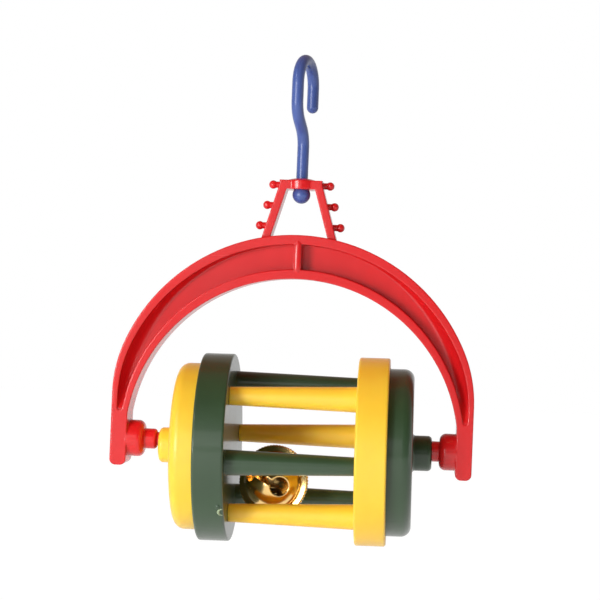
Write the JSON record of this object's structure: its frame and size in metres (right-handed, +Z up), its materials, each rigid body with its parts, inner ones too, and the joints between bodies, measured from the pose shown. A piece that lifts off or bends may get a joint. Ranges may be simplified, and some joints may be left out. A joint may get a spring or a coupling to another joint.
{
  "type": "hanging bird toy with rolling cage and bell",
  "caption": "Hanging bird toy: a swivel hook carries a moulded bow, and a barred roll with a loose jingle bell inside turns on the bow's pins.",
  "frame": {"origin": "hang point: the inside top of the hook's loop, on the swivel axis", "axes": "+Z up along the swivel axis, X along the roll with +X at the green end cap, -Y at the front"},
  "size_m": [0.1222, 0.0634, 0.166],
  "materials": {
    "blue_plastic": "moulded, glossy",
    "red_plastic": "moulded, glossy",
    "green_plastic": "moulded, satin gloss",
    "yellow_plastic": "moulded, satin gloss",
    "bell_brass": "bright plated sheet",
    "pellet_steel": "bright ball"
  },
  "bodies": {
    "hook": {"hook": "blue_plastic"},
    "bow": {"bow": "red_plastic"},
    "roll": {"green_cage_half": "green_plastic", "yellow_cage_half": "yellow_plastic", "yellow_end_cap": "yellow_plastic", "green_end_cap": "green_plastic"},
    "bell": {"bell_crown_half": "bell_brass", "bell_slotted_half": "bell_brass", "bell_loop": "bell_brass"},
    "pellet": {"bell_pellet": "pellet_steel"}
  },
  "joints": [
    {"name": "bow_swivel", "type": "hinge", "parent": "hook", "child": "bow", "pos_m": [0, 0, -0.0436], "axis": [0, 0, 1], "continuous": true},
    {"name": "roll_spin", "type": "hinge", "parent": "bow", "child": "roll", "pos_m": [0.00135, 0, -0.12994], "axis": [0.9999, 0, 0.0125], "continuous": true},
    {"name": "bell_travel", "type": "slide", "parent": "roll", "child": "bell", "axis": [0.9999, 0, 0.0125], "range_m": [-0.0017, 0.016]},
    {"name": "pellet_roll", "type": "hinge", "parent": "bell", "child": "pellet", "pos_m": [-0.00566, 0.00168, -0.1414], "axis": [1, 0, 0], "continuous": true}
  ]
}
